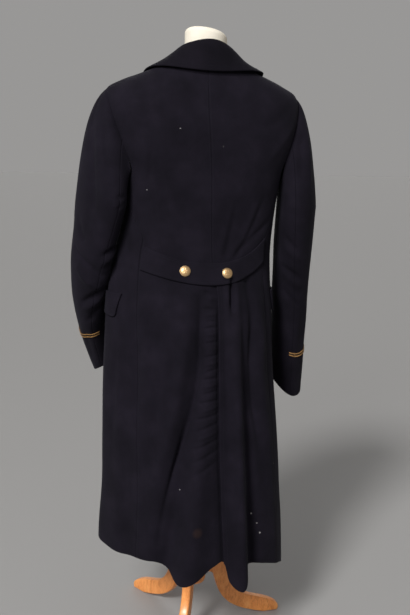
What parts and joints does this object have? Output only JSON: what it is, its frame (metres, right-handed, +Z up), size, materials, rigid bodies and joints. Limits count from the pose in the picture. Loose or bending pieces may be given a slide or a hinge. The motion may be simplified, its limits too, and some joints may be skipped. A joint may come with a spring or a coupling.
{
  "type": "military greatcoat on a dress form with a tripod stand",
  "caption": "Long dark navy wool greatcoat with half belt, back vent, rolled collar and gilt buttons, on a limbless dress form with a wooden tripod stand.",
  "frame": {"origin": "on the floor, under the middle of the whole object's box", "axes": "+Z up, the coat's front faces -Y, its own left side is +X"},
  "size_m": [0.616, 0.479, 1.53],
  "materials": {
    "wool": "matte brushed melton, dark navy",
    "braid": "dull old gold metal thread",
    "gilt": "worn gilt, satin",
    "cover": "matte cream jersey",
    "beech": "satin varnish, orange brown"
  },
  "bodies": {
    "root": {"back_right": "wool", "back_left": "wool", "front_left": "wool", "front_right": "wool", "lapel_left": "wool", "lapel_right": "wool", "collar": "wool", "sleeve_left_top": "wool", "sleeve_left_under": "wool", "sleeve_right_top": "wool", "sleeve_right_under": "wool", "braid_left_lower": "braid", "braid_left_upper": "braid", "braid_right_lower": "braid", "braid_right_upper": "braid", "half_belt": "wool", "flap_left": "wool", "flap_right": "wool", "belt_button_left": "gilt", "belt_button_right": "gilt", "front_button_left_1": "gilt", "front_button_left_2": "gilt", "front_button_left_3": "gilt", "front_button_left_4": "gilt", "front_button_right_1": "gilt", "front_button_right_2": "gilt", "front_button_right_3": "gilt", "front_button_right_4": "gilt", "form_torso": "cover", "pole": "beech", "hub": "beech", "leg_1": "beech", "leg_2": "beech", "leg_3": "beech"}
  },
  "joints": []
}
